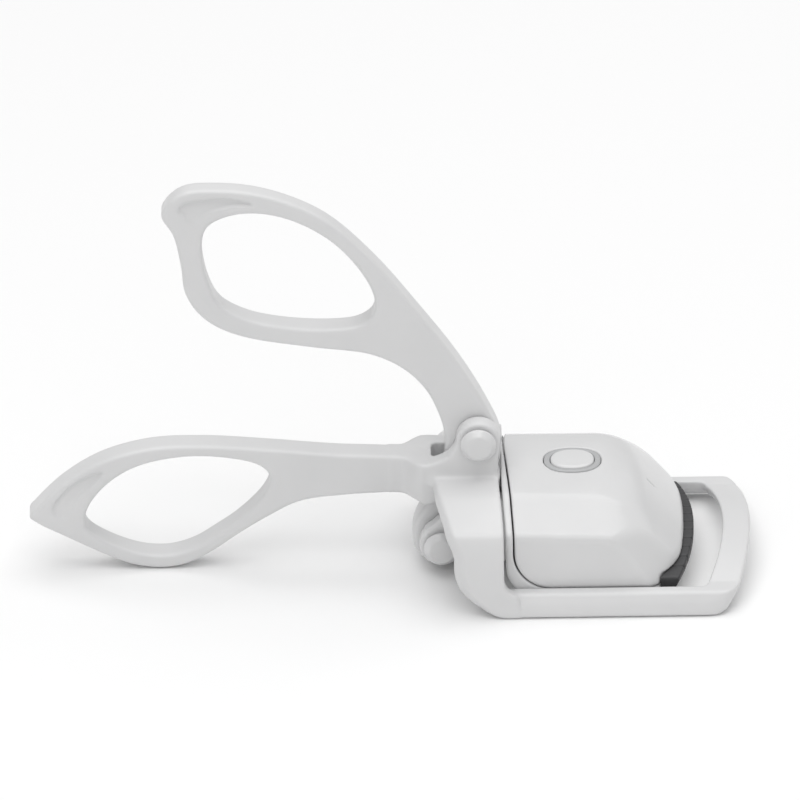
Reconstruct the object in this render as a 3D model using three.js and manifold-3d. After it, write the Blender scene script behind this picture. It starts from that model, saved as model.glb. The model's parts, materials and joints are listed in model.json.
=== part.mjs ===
// Heated eyelash curler with two finger loops, in millimetres, +Z up.
// +X runs from the loops to the arch bar, and the curler stands on Z = 0.
// Shapes are given from the main pivot's axis at X = 0; the exported group moves them
// so that the origin is at the middle of the curler's footprint.
import * as THREE from 'three';
import { mergeVertices } from 'three/addons/utils/BufferGeometryUtils.js';
import Module from 'manifold-3d';

const wasm = await Module();
wasm.setup();

// ---- Driving dimensions -------------------------------------------------------------
const PIVOT_OFFSET = 16.1; // from the middle of the footprint to the main pivot
const GAP = 0.3; // clearance between neighbouring pieces

const PIVOT = [0, 27.2]; // main pivot axis, X and Z
const LINK = [-6.85, 5.8]; // drive pin axis at rest, X and Z
const PIN_R = 1.5;
const LINK_PIN_R = 1.2;
const PIN_SPAN = 5.8; // half length of both shafts
const PIN_HEAD = { base: 3.27, top: 2.2, high: 1.8 }; // the round caps on the right
const PIN_TAIL = { base: 2.2, top: 1.8, high: 0.7 }; // the flatter ones on the left
const BOSS_R = 4.0;
const LEFT_BOSS_R = 2.75; // the left cheek's eye stays inside the lever's outline
const LUG_FLAT_DEG = 237; // where a lug's boss runs into its flat lower edge
const LUG_TOP_Z = 15.2;
const LINK_DROP = 1.0; // how far the drive pin sinks as it swings forward

const HANDLE_HALF = 2.5; // half thickness of both handles
const HANDLE_BEVEL = 0.8;
const SLOT_HALF = HANDLE_HALF + GAP;
const SLOT_REAR_X = -8.9;
const NECK_HALF = 5.8; // outer faces of the cheeks and of the drive lugs
const NECK_TOP_Z = 22.4;

const COLLAR_HALF = 22.2;
const COLLAR_TOP_Z = 20.4;
const COLLAR_CREASE = [11.1, 19.7];
const COLLAR_SHOULDER = [20.1, 16.4];
const COLLAR_WALL = 2.0;
const COLLAR_FRONT_X = 3.5;
const COLLAR_SIDE_FRONT_X = 4.3;
const ARM_INNER = 18.6;
const ARM_TOP_Z = 4.4;
const ARM_FILLET = 2.5;

const ARCH_INNER_X = 43.9;
const ARCH_OUTER_X = 48.9;
const ARCH_TOP_Z = 7.1;
const ARCH_THICK = 2.4;
const BOW = 0.0095; // plan bow of the pad and of the arch's inner edge, per mm
const OUTER_BOW = 0.0068;
const ARCH_SAG = 0.009; // fall of the arch and of the pad's top, per mm

const HEAD_REAR_X = 3.95; // at the crown; it bows forward towards the sides
const HEAD_SIDE_REAR_X = 4.65;
const HEAD_HALF = 18.3;
const HEAD_FLOOR_Z = 1.0;
const REAR_CORNER_R = 7.6; // lower rear corner of the head, seen from the side
const HEAD_CROWN_Z = 20.3;
const HEAD_LIP_X = 37.0;
const HEAD_WALL = 1.8;
const SEAM_X = 6.5; // joint between the lower shell's rim and the hood
const SEAM_Z = 4.0;
const SEAM_R = 7.0;
const POCKET_TOP_Z = 7.3; // the heater stack sits in an open pocket below the lip
const POCKET_FLOOR_Z = 1.9;
const POCKET_HALF = 16.9;

const TONGUE = { reach: 19.4, low: 1.6, high: 2.6, rear: 9, front: 30 };
const TRAVEL = 5.1; // of the head along the arms

const BUTTON_X = 16.9;
const BUTTON_SEMI = [3.95, 3.35];
const RING_SEMI = [5.13, 4.29];
const RIB_PITCH = 2.8;
const RIB_GROOVE = 0.6;
const RIB_DEPTH = 0.5;
const PAD_DEPTH = 2.1;
const PAD_WING = 3.4; // depth of the pad's two end blocks
const PAD_HALF = 17.3;
const PAD_FLOOR_Z = POCKET_FLOOR_Z + GAP;
const PAD_FRONT_X = HEAD_LIP_X + 1.7;
const STACK_HALF = 12.8; // half length of the heater plate and of the pad's holder

const BOARD = { rear: 8, front: 27, half: 9, low: 13.0, high: 14.0 };
const BATTERY = { rear: 13.5, front: 29.4, half: 11, low: 4.7, high: 10.9 };
const USB = { y: 11.5, z: 8.2, half: 4.5, halfHigh: 1.6, depth: 7.2, wall: 0.4 };
const POSTS = [[15.2, 14.6], [28.5, 13.6]]; // screw posts, X and |Y|
const POST_R = 1.9;
const SCREW_R = 0.8;
const SCREW_HEAD_R = 1.5;
const LEAD_R = 0.45;
const PLUNGER_R = 0.9;

// ---- Materials ----------------------------------------------------------------------
const material = (color, roughness, metalness = 0) =>
  new THREE.MeshStandardMaterial({ color, roughness, metalness });
const whiteShell = () => material(0xf1f1f2, 0.22);
const whiteHandle = () => material(0xefeff0, 0.32);
const steel = () => material(0xb9bcc0, 0.35, 1);

// ---- Shape tools --------------------------------------------------------------------
const UNIT = {
  x: new THREE.Vector3(1, 0, 0),
  y: new THREE.Vector3(0, 1, 0),
  z: new THREE.Vector3(0, 0, 1),
};
// Where an outline's two axes and the extrusion's own axis point.
const TURN = {
  x: new THREE.Matrix4().makeBasis(UNIT.y, UNIT.z, UNIT.x),
  y: new THREE.Matrix4().makeBasis(UNIT.x, UNIT.z, UNIT.y.clone().negate()),
  z: new THREE.Matrix4(),
};

function solid(geometry) {
  geometry.deleteAttribute('normal');
  geometry.deleteAttribute('uv');
  const merged = mergeVertices(geometry, 1e-4);
  return new wasm.Manifold(new wasm.Mesh({
    numProp: 3,
    vertProperties: merged.attributes.position.array,
    triVerts: Uint32Array.from(merged.index.array),
  }));
}

const vectors = (points) => points.map(([a, b]) => new THREE.Vector2(a, b));

// A prism along x (outline in y, z), y (outline in x, z) or z (outline in x, y).
function prism(along, outline, from, to, { bevel = 0, holes = [] } = {}) {
  const contour = vectors(outline);
  if (THREE.ShapeUtils.isClockWise(contour)) {
    contour.reverse();
  }
  const shape = new THREE.Shape(contour);
  shape.holes = holes.map((hole) => new THREE.Path(vectors(hole)));
  const geometry = new THREE.ExtrudeGeometry(shape, {
    depth: to - from - 2 * bevel,
    bevelEnabled: bevel > 0,
    bevelThickness: bevel,
    bevelSize: bevel,
    bevelOffset: -bevel,
    bevelSegments: 2,
  });
  geometry.translate(0, 0, bevel);
  geometry.applyMatrix4(TURN[along]);
  const start = along === 'y' ? to : from;
  geometry.translate(...UNIT[along].clone().multiplyScalar(start).toArray());
  return solid(geometry);
}

const box = ([x0, x1], [y0, y1], [z0, z1]) =>
  prism('z', [[x0, y0], [x1, y0], [x1, y1], [x0, y1]], z0, z1);

// Points along an ellipse from one angle to another, in degrees.
function arc([a, b], radiusA, radiusB, startDeg, endDeg, steps) {
  return Array.from({ length: steps + 1 }, (_, i) => {
    const angle = THREE.MathUtils.degToRad(startDeg + ((endDeg - startDeg) * i) / steps);
    return [a + radiusA * Math.cos(angle), b + radiusB * Math.sin(angle)];
  });
}

const oval = (centre, radiusA, radiusB, steps = 28) =>
  arc(centre, radiusA, radiusB, 0, 360 * (1 - 1 / steps), steps - 1);

// A smooth closed outline through a few points.
function smoothLoop(points, count) {
  const knots = points.map(([a, b]) => new THREE.Vector3(a, b, 0));
  const curve = new THREE.CatmullRomCurve3(knots, true, 'centripetal');
  return curve.getSpacedPoints(count).slice(0, -1).map((p) => [p.x, p.y]);
}

// A half outline with its mirror image; a point on the mirror line isn't repeated.
const mirrored = (half) => [
  ...half, ...half.filter(([a]) => a !== 0).map(([a, b]) => [-a, b]).reverse(),
];

// A round bar along Y through (x, z).
const roundBar = ([x, z], radius, y0, y1, steps = 24) =>
  prism('y', oval([x, z], radius, radius, steps), y0, y1);

function lead(points) {
  const path = new THREE.CatmullRomCurve3(points.map((p) => new THREE.Vector3(...p)));
  const section = new THREE.Shape(vectors(oval([0, 0], LEAD_R, LEAD_R, 8)));
  return solid(new THREE.ExtrudeGeometry(section, { steps: 10, extrudePath: path }));
}

const union = (solids) => solids.reduce((whole, next) => whole.add(next));
const bothSides = (make) => [-1, 1].map(make);

// ---- The assembly -------------------------------------------------------------------
const curler = new THREE.Group();
curler.position.x = PIVOT_OFFSET;

function addPiece(name, shape, surface) {
  const { vertProperties, triVerts } = shape.getMesh();
  const geometry = new THREE.BufferGeometry();
  geometry.setAttribute('position', new THREE.BufferAttribute(vertProperties, 3));
  geometry.setIndex(new THREE.BufferAttribute(triVerts, 1));
  geometry.computeVertexNormals();
  const mesh = new THREE.Mesh(geometry, surface);
  mesh.name = name;
  curler.add(mesh);
}

// ---- Frame: lower loop, neck, cheeks, collar, arms and arch, one moulding -------------
const archBow = (y) => ARCH_INNER_X - BOW * y * y;
const archTop = (y) => ARCH_TOP_Z - ARCH_SAG * y * y;

function lowerLoop() {
  const outer = smoothLoop([
    [-81.1, 10.9], [-79.9, 12.6], [-74.9, 17.8], [-68, 22.3], [-59.3, 24.9], [-50, 25.3],
    [-38, 24.4], [-26, 23.2], [-14.5, 22.5], [-10.5, 21.5], [-10.5, 16], [-14.2, 15.3],
    [-24, 14.7], [-32.3, 13.5], [-38.1, 10.4], [-43.4, 6.9], [-48.6, 3.1], [-53, 0.8],
    [-57.5, 0.1], [-62.5, 0.8], [-67.2, 2.8], [-75.1, 7], [-79.7, 9.6],
  ], 84);
  const hole = smoothLoop([
    [-71.1, 10.5], [-70.1, 13.6], [-66.5, 18], [-61.4, 21.2], [-53.4, 23], [-45.5, 22.7],
    [-39.5, 21], [-37.6, 18.6], [-38.8, 15], [-43.3, 10], [-47.5, 6.8], [-51.5, 4.2],
    [-56.2, 2.8], [-61.6, 3.3], [-68.2, 6.3], [-70.7, 8.5],
  ], 48);
  return prism('y', outer, -HANDLE_HALF, HANDLE_HALF, { bevel: HANDLE_BEVEL, holes: [hole] });
}

function neckAndCheeks() {
  const halfPlan = [
    [HANDLE_HALF - 0.6, -15.5], [HANDLE_HALF + 0.2, -13], [NECK_HALF - 1.8, -11.6],
    [NECK_HALF - 0.4, -10.4], [NECK_HALF, -9], [NECK_HALF, 6],
  ];
  const plan = mirrored(halfPlan).map(([y, x]) => [x, y]);
  const cheek = (bossR, shoulder) => [
    [-15.5, 15.6], [-14.2, 15.3], [-11.3, 14.9], [-9.6, 14.3], [-6.5, 15],
    [-4.5, COLLAR_TOP_Z - COLLAR_WALL], [COLLAR_FRONT_X, COLLAR_TOP_Z - COLLAR_WALL],
    [COLLAR_FRONT_X, COLLAR_TOP_Z], ...arc(PIVOT, bossR, bossR, -20, 185, 18),
    ...shoulder, [-9, NECK_TOP_Z + 0.3], [-15.5, NECK_TOP_Z],
  ];
  const right = cheek(BOSS_R, [[-4.4, 25.8], [-5.5, 24.4], [-6.9, 23.4]]);
  const left = cheek(LEFT_BOSS_R, [[-3.4, 24.6], [-4.6, 23.2], [-6.4, NECK_TOP_Z + 0.3]]);
  return prism('z', plan, 10, 34).intersect(union([
    prism('y', right, -NECK_HALF, 0),
    prism('y', left, 0, NECK_HALF),
  ]));
}

function collar() {
  const side = [
    [-10.3, COLLAR_TOP_Z + 1], [-10.3, COLLAR_TOP_Z], [-7.4, 17.2], [-4.8, 11.8], [-4.7, 7.4],
    [-4.2, 5.3], [-2.6, 3.3], [0, 1.7], [3.1, 0.5], [6, 0], [9, 0], [9, ARM_TOP_Z],
    ...arc([COLLAR_SIDE_FRONT_X + ARM_FILLET, ARM_TOP_Z + ARM_FILLET],
      ARM_FILLET, ARM_FILLET, 270, 180, 5),
    [COLLAR_SIDE_FRONT_X, 14], [COLLAR_FRONT_X, COLLAR_TOP_Z], [COLLAR_FRONT_X, COLLAR_TOP_Z + 1],
  ];
  const section = (inset, low) => mirrored([
    [COLLAR_HALF - inset, low], [COLLAR_HALF - inset, 8.8],
    [COLLAR_HALF - 0.2 - inset, 11.4], [COLLAR_HALF - 0.9 - inset, 14],
    [COLLAR_SHOULDER[0] - 0.9 * inset, COLLAR_SHOULDER[1] - 0.6 * inset],
    [COLLAR_CREASE[0] - 0.3 * inset, COLLAR_CREASE[1] - inset],
    [6, 20.2 - inset], [0, COLLAR_TOP_Z - inset],
  ]);
  const outer = prism('x', section(0, 0), -12, 12);
  const inner = prism('x', section(COLLAR_WALL, -1), -13, 13);
  return prism('y', side, -COLLAR_HALF, COLLAR_HALF).intersect(outer.subtract(inner));
}

function armsAndArch() {
  const stations = [0, 3, 6, 9, 12, 15];
  const outerHalf = [...stations.map((y) => [ARCH_OUTER_X - OUTER_BOW * y * y, y]),
    [46.5, 18.4], [45.2, 20.5], [43.4, 21.7], [41, COLLAR_HALF], [-5, COLLAR_HALF]];
  const innerHalf = [...stations.map((y) => [archBow(y), y]),
    [archBow(17.7), 17.7], [40.1, 18.4], [39.2, ARM_INNER], [-5, ARM_INNER]];
  const otherSide = (points) => points.map(([x, y]) => [x, -y]);
  const plan = [
    ...otherSide(outerHalf).reverse(), ...outerHalf.slice(1),
    ...innerHalf.reverse(), ...otherSide(innerHalf).reverse().slice(1),
  ];
  const front = mirrored([
    [0, ARCH_TOP_Z - ARCH_THICK], [13, archTop(13) - ARCH_THICK], [16, 0.9], [18.4, 0],
    [COLLAR_HALF, 0], [COLLAR_HALF, 1.8], [21.7, 3.5], [20.8, ARM_TOP_Z], [17.5, ARM_TOP_Z],
    [15, archTop(15)], [12, archTop(12)], [8, archTop(8)], [4, archTop(4)], [0, ARCH_TOP_Z],
  ].reverse());
  const side = [
    [-2.6, 3.3], [0, 1.7], [3.1, 0.5], [6, 0], [50, 0], [50, 8], [6, 8], [-2.6, 3.6],
  ];
  return prism('z', plan, 0, 8)
    .intersect(prism('x', front, -5, 50))
    .intersect(prism('y', side, -COLLAR_HALF, COLLAR_HALF));
}

function frame() {
  const slot = box([SLOT_REAR_X, 12], [-SLOT_HALF, SLOT_HALF], [5, 40]);
  const pinHole = roundBar(PIVOT, PIN_R + GAP, -10, 10);
  const grooves = bothSides((side) => box(
    [TONGUE.rear - 1, TONGUE.front + TRAVEL + 1],
    side < 0 ? [-TONGUE.reach - 0.4, -10] : [10, TONGUE.reach + 0.4],
    [TONGUE.low - GAP, TONGUE.high + GAP],
  ));
  return union([lowerLoop(), neckAndCheeks(), collar(), armsAndArch()])
    .subtract(union([slot, pinHole, ...grooves]));
}

// ---- Upper handle: loop and lever ----------------------------------------------------
function upperHandle() {
  const outer = smoothLoop([
    [-56.4, 72.6], [-55.2, 75.3], [-52.2, 77.5], [-46.5, 77.9], [-40, 77.2], [-33, 74.9],
    [-26.3, 71], [-18.5, 63], [-10.2, 51.8], [-3.2, 41.4], [1.6, 32.4], [3.9, 26.4],
    [3.6, 20.5], [0.6, 12.5], [-2.6, 6], [-5, 2.2], [-8.6, 1.1], [-11.3, 3], [-12.1, 6.3],
    [-11.2, 10], [-9, 13.4], [-7.1, 17.5], [-6.1, 23], [-6.2, 27.8], [-7.3, 31.9],
    [-9.4, 36.4], [-13.5, 40.8], [-19.3, 43.8], [-29.6, 45.4], [-41.4, 47.6], [-47, 50],
    [-50.4, 53.1], [-52.4, 57], [-53, 62], [-54.3, 68.5],
  ], 100);
  const hole = smoothLoop([
    [-49.2, 66.5], [-48.2, 70.2], [-44.4, 72.4], [-39.1, 72.9], [-32.7, 71.2], [-25.7, 66.7],
    [-20.3, 60], [-18.3, 55], [-18.7, 51.9], [-21.2, 49.9], [-25.8, 49.2], [-34.3, 49.7],
    [-41.3, 51.4], [-46, 54.4], [-48.2, 59],
  ], 48);
  const pivotHole = oval(PIVOT, PIN_R + GAP, PIN_R + GAP, 20);
  const linkHole = oval(LINK, LINK_PIN_R + GAP, LINK_PIN_R + GAP, 20);
  return prism('y', outer, -HANDLE_HALF, HANDLE_HALF, {
    bevel: HANDLE_BEVEL, holes: [hole],
  }).subtract(union([
    prism('y', pivotHole, -5, 5),
    prism('y', linkHole, -5, 5),
  ]));
}

// ---- Pins ----------------------------------------------------------------------------
function pinCap([x, z], side) {
  const { base, top, high } = side < 0 ? PIN_HEAD : PIN_TAIL;
  const profile = [[0, 0], [base, 0], [base, high * 0.45], [top, high], [0, high]];
  const geometry = new THREE.LatheGeometry(vectors(profile), 24);
  if (side < 0) {
    geometry.rotateX(Math.PI);
  }
  geometry.translate(x, side * (NECK_HALF + GAP), z);
  return solid(geometry);
}

// ---- Head shells ---------------------------------------------------------------------
// Each outline of the head, shrunk by an inset for the hollow inside it.
const headSection = (inset) => mirrored([
  [HEAD_HALF - 0.5 - inset, HEAD_FLOOR_Z + inset], [HEAD_HALF - inset, HEAD_FLOOR_Z + 1.5 + inset],
  [HEAD_HALF - inset, 14.4 - 0.5 * inset], [11.6 - 0.4 * inset, 19.1 - inset],
  [6, 20 - inset], [0, HEAD_CROWN_Z - inset],
]);

const headSide = (inset) => [
  [HEAD_REAR_X + inset, 21 - inset], [22.6 - 0.3 * inset, 21 - inset],
  [25.6 - 0.5 * inset, 19.9 - inset],
  [28 - 0.8 * inset, 18.3 - inset], [HEAD_LIP_X - 1.3 * inset, 7.8 - 0.6 * inset],
  [HEAD_LIP_X - 0.4 - 1.3 * inset, 7 - 0.6 * inset], [35 - inset, HEAD_FLOOR_Z + inset],
  ...arc([HEAD_SIDE_REAR_X + REAR_CORNER_R, HEAD_FLOOR_Z + REAR_CORNER_R],
    REAR_CORNER_R - inset, REAR_CORNER_R - inset, 270, 180, 6),
];

const headPlan = (inset) => {
  const half = [
    [HEAD_REAR_X + inset, 8], [HEAD_REAR_X + 0.3 + inset, 13],
    [HEAD_REAR_X + 0.7 + inset, HEAD_HALF - inset], [25, HEAD_HALF - inset], [29.5, 17.8 - inset],
    [32.6, 16.4 - inset], [34.6 - 0.8 * inset, 14.6 - inset], [35.7 - inset, 12.2 - inset],
    [36.6 - inset, 7.6 - inset], [HEAD_LIP_X - inset, 3 - 0.5 * inset],
  ];
  return [...half, ...half.map(([x, y]) => [x, -y]).reverse()];
};

const headBody = (inset) => prism('x', headSection(inset), 0, 40)
  .intersect(prism('y', headSide(inset), -20, 20))
  .intersect(prism('z', headPlan(inset), 0, 22));

const hoodSide = (gap) => [
  [SEAM_X - gap, 30],
  ...arc([SEAM_X + SEAM_R, SEAM_Z + SEAM_R], SEAM_R + gap, SEAM_R + gap, 180, 270, 6),
  [45, SEAM_Z - gap], [45, 30],
];

// A strip bowed like the pad, from one distance behind its front face to another.
function bowedStrip(rearX, frontX, half, z0, z1) {
  const steps = 12;
  const ys = Array.from({ length: steps + 1 }, (_, i) => -half + (2 * half * i) / steps);
  const edge = (x) => ys.map((y) => [x - BOW * y * y, y]);
  return prism('z', [...edge(frontX), ...edge(rearX).reverse()], z0, z1);
}

const heaterPocket = () => bowedStrip(33, 45, POCKET_HALF, POCKET_FLOOR_Z, POCKET_TOP_Z);

const postPlaces = POSTS.flatMap(([x, y]) => [[x, -y], [x, y]]);

function upperShell() {
  const shell = headBody(0).subtract(headBody(HEAD_WALL));
  const posts = postPlaces.map((place) =>
    prism('z', oval(place, POST_R, POST_R, 14), SEAM_Z, 20).intersect(headBody(0.5)));
  const screwHoles = postPlaces.map((place) =>
    prism('z', oval(place, SCREW_R + GAP, SCREW_R + GAP, 10), 0, 10.5));
  const ringHole = prism('z', oval([BUTTON_X, 0], RING_SEMI[0] + GAP, RING_SEMI[1] + GAP), 17, 22);
  return union([shell, ...posts])
    .intersect(prism('y', hoodSide(0), -20, 20))
    .subtract(union([heaterPocket(), ringHole, ...screwHoles]));
}

function driveLug(side) {
  const [x, z] = LINK;
  const profile = [
    ...arc(LINK, BOSS_R, BOSS_R, 135, LUG_FLAT_DEG, 12),
    [HEAD_SIDE_REAR_X + 3, z + BOSS_R * Math.sin(THREE.MathUtils.degToRad(LUG_FLAT_DEG))],
    [HEAD_SIDE_REAR_X + 1, LUG_TOP_Z], [-3.2, LUG_TOP_Z],
  ];
  const slot = [
    ...arc([x, z + 0.1], LINK_PIN_R + GAP, LINK_PIN_R + GAP, 0, 180, 10),
    ...arc([x, z - LINK_DROP - 0.1], LINK_PIN_R + GAP, LINK_PIN_R + GAP, 180, 360, 10),
  ];
  const [y0, y1] = side < 0 ? [-NECK_HALF, -SLOT_HALF] : [SLOT_HALF, NECK_HALF];
  return prism('y', profile, y0, y1).subtract(prism('y', slot, y0 - 1, y1 + 1));
}

function lowerShell() {
  const shell = headBody(0).subtract(headBody(HEAD_WALL));
  const tongues = bothSides((side) => box(
    [TONGUE.rear, TONGUE.front],
    side < 0 ? [-TONGUE.reach, 1 - HEAD_HALF] : [HEAD_HALF - 1, TONGUE.reach],
    [TONGUE.low, TONGUE.high],
  ));
  const lugs = bothSides(driveLug);
  const usbHole = box(
    [0, 12],
    [USB.y - USB.half - GAP, USB.y + USB.half + GAP],
    [USB.z - USB.halfHigh - GAP, USB.z + USB.halfHigh + GAP],
  );
  const screwHoles = postPlaces.map((place) =>
    prism('z', oval(place, SCREW_HEAD_R + GAP, SCREW_HEAD_R + GAP, 14), 0, SEAM_Z));
  return union([shell, ...lugs])
    .subtract(prism('y', hoodSide(GAP), -20, 20))
    .add(union(tongues))
    .subtract(union([heaterPocket(), usbHole, ...screwHoles]));
}

// ---- Button and its light ring --------------------------------------------------------
const buttonOval = (grow = 0) => oval([BUTTON_X, 0], BUTTON_SEMI[0] + grow, BUTTON_SEMI[1] + grow);

function powerButton() {
  return union([
    prism('z', buttonOval(), 18.4, 20.7, { bevel: 0.25 }),
    prism('z', buttonOval(0.8), 17.8, 18.5),
    prism('z', oval([BUTTON_X, 0], 1.3, 1.3, 14), 16.7, 18),
  ]);
}

function lightRing() {
  return prism('z', oval([BUTTON_X, 0], ...RING_SEMI), 18.8, 20.4)
    .subtract(prism('z', buttonOval(GAP), 18, 22));
}

// ---- Heater ---------------------------------------------------------------------------
function heatingPad() {
  const bowed = (x, y) => [x - BOW * y * y, y];
  const ribs = 6;
  const face = [];
  for (let rib = -ribs; rib <= ribs; rib += 1) {
    const low = rib * RIB_PITCH - (RIB_PITCH - RIB_GROOVE) / 2;
    const high = low + RIB_PITCH - RIB_GROOVE;
    face.push(bowed(PAD_FRONT_X - RIB_DEPTH, low), bowed(PAD_FRONT_X, low + 0.15));
    face.push(bowed(PAD_FRONT_X, high - 0.15), bowed(PAD_FRONT_X - RIB_DEPTH, high));
  }
  const wing = (y) => bowed(PAD_FRONT_X - PAD_WING, y);
  const rear = [13, 8, 4, 0, -4, -8, -13].map((y) => bowed(PAD_FRONT_X - PAD_DEPTH, y));
  const back = [wing(PAD_HALF), wing(16.6), ...rear, wing(-16.6), wing(-PAD_HALF)];
  const top = mirrored([
    [0, POCKET_TOP_Z - GAP], [8, 6.5], [13, 5.9], [PAD_HALF, 5.0], [PAD_HALF, PAD_FLOOR_Z],
  ]);
  return prism('z', [...face, ...back], PAD_FLOOR_Z, 8).intersect(prism('x', top, 30, 40));
}

// ---- Pieces: frame and pins ------------------------------------------------------------
addPiece('frame', frame(), whiteHandle());
addPiece('upper_handle', upperHandle(), whiteHandle());
addPiece('pivot_shaft', roundBar(PIVOT, PIN_R, -PIN_SPAN, PIN_SPAN), steel());
addPiece('link_shaft', roundBar(LINK, LINK_PIN_R, -PIN_SPAN, PIN_SPAN), steel());
for (const [side, word] of [[-1, 'right'], [1, 'left']]) {
  addPiece(`pivot_cap_${word}`, pinCap(PIVOT, side), whiteShell());
  addPiece(`link_cap_${word}`, pinCap(LINK, side), whiteShell());
}

// ---- Pieces: head ----------------------------------------------------------------------
addPiece('head_upper_shell', upperShell(), whiteShell());
addPiece('head_lower_shell', lowerShell(), whiteShell());
addPiece('light_ring', lightRing(), material(0xc9cacc, 0.35));
addPiece('power_button', powerButton(), whiteShell());
addPiece('heating_pad', heatingPad(), material(0x3c3c3f, 0.75));

addPiece('heater_plate', bowedStrip(35.7, 36.3, STACK_HALF, 2.4, 6.6), material(0xc4c6c9, 0.4, 1));
addPiece('heating_film', bowedStrip(35.1, 35.4, STACK_HALF - 0.5, 2.6, 6.4), material(0xb5722e, 0.5));
addPiece('pad_holder', bowedStrip(33.3, 34.8, STACK_HALF, 2.2, 6.8), material(0x2b2b2d, 0.6));
addPiece('thermal_fuse', roundBar([31.4, 5], 1, -2.5, 2.5, 14), material(0xd8d4c4, 0.5));

// ---- Pieces: electronics ---------------------------------------------------------------
const onBoard = BOARD.high + GAP;
addPiece('circuit_board',
  box([BOARD.rear, BOARD.front], [-BOARD.half, BOARD.half], [BOARD.low, BOARD.high]),
  material(0x1f6b3a, 0.5));
addPiece('controller_chip',
  box([21.5, 26], [-7.5, -3], [onBoard, onBoard + 0.9]), material(0x222224, 0.5));
for (const [x, word] of [[BUTTON_X - 4.8, 'rear'], [BUTTON_X + 4.8, 'front']]) {
  addPiece(`ring_led_${word}`,
    box([x - 0.8, x + 0.8], [-0.6, 0.6], [onBoard, onBoard + 0.7]), material(0xf4f0da, 0.3));
}
const switchTop = onBoard + 1.6;
addPiece('tact_switch',
  box([BUTTON_X - 2.5, BUTTON_X + 2.5], [-2.5, 2.5], [onBoard, switchTop])
    .subtract(prism('z', oval([BUTTON_X, 0], PLUNGER_R + GAP, PLUNGER_R + GAP, 16), onBoard + 0.2, 18)),
  material(0x303033, 0.5));
addPiece('switch_plunger',
  prism('z', oval([BUTTON_X, 0], PLUNGER_R, PLUNGER_R, 16), onBoard + 0.9, 16.4),
  material(0xd9d9db, 0.4));
addPiece('battery',
  prism('z', [
    [BATTERY.rear, -BATTERY.half], [BATTERY.front, -BATTERY.half],
    [BATTERY.front, BATTERY.half], [BATTERY.rear, BATTERY.half],
  ], BATTERY.low, BATTERY.high, { bevel: 0.6 }), material(0xaeb4bb, 0.4, 0.6));
addPiece('battery_foam',
  box([BATTERY.rear + 2, BATTERY.front - 2], [-9, 9], [3.1, BATTERY.low - GAP]),
  material(0x55565a, 0.9));

function usbSocket() {
  const low = USB.z - USB.halfHigh;
  const high = USB.z + USB.halfHigh;
  const rear = HEAD_SIDE_REAR_X + GAP;
  const outline = (inset) => [USB.y - USB.half + inset, USB.y + USB.half - inset];
  return box([rear, rear + USB.depth], outline(0), [low, high])
    .subtract(box([rear - 1, rear + USB.depth - 0.8], outline(USB.wall),
      [low + USB.wall, high - USB.wall]))
    .add(box([rear + 1.2, rear + USB.depth - 0.4], outline(1.3), [USB.z - 0.35, USB.z + 0.35]));
}
addPiece('usb_socket', usbSocket(), steel());

// ---- Pieces: screws and leads ------------------------------------------------------------
postPlaces.forEach(([x, y], index) => {
  const geometry = new THREE.LatheGeometry(vectors([
    [0, 1.3], [SCREW_HEAD_R, 1.3], [SCREW_HEAD_R, 2.0], [SCREW_R, 2.6], [SCREW_R, 9.6], [0, 10],
  ]), 14);
  geometry.rotateX(Math.PI / 2);
  geometry.translate(x, y, 0);
  addPiece(`shell_screw_${index + 1}`, solid(geometry), steel());
});
for (const [side, word] of [[-1, 'right'], [1, 'left']]) {
  addPiece(`heater_lead_${word}`, lead([
    [27.5, 3 * side, 13.4], [29.6, 3.2 * side, 11.4], [31.4, 4 * side, 8.4], [32.3, 4.6 * side, 6.2],
  ]), material(0xb03030, 0.5));
  addPiece(`battery_lead_${word}`, lead([
    [13.1, 2 * side, 8.5], [11.7, 2.2 * side, 9.2], [10.6, 2.6 * side, 10.8], [10.4, 3 * side, 12.4],
  ]), material(0x333336, 0.5));
}

export default curler;
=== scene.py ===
"""Looks of the heated eyelash curler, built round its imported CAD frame.

Every visible moulding is a signed distance field in millimetres, in a frame whose X and Z start
at the main pivot's foot (X = 0 under the pivot, Z = 0 on the table), polygonised here in numpy.
"""
import json
import math

import bpy
import numpy as np
from mathutils import Matrix, Vector


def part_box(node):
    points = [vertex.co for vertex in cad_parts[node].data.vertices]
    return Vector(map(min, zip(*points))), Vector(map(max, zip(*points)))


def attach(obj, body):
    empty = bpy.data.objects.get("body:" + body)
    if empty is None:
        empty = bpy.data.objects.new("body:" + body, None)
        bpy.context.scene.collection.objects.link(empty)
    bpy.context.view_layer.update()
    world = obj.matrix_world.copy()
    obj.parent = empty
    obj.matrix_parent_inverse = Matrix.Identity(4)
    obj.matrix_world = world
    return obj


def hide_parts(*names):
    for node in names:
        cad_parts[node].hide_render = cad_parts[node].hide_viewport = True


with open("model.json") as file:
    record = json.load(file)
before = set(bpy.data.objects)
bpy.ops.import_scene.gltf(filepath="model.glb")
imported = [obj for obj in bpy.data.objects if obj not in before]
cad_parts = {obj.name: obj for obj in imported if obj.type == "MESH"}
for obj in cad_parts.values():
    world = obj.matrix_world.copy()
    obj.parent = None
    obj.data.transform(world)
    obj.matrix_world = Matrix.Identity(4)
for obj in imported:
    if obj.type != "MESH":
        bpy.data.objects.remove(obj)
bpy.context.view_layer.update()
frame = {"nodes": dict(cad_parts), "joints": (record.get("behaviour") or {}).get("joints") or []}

MM = 0.001

# ---- Places taken from the frame, in millimetres -----------------------------------------
JOINTS = {joint["name"]: joint for joint in frame["joints"]}
PIVOT_SHIFT = Vector((JOINTS["handle_pivot"]["pos_m"][0], 0, 0))  # row origin to the pivot's foot
PIVOT = (0.0, JOINTS["handle_pivot"]["pos_m"][2] / MM)


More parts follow.
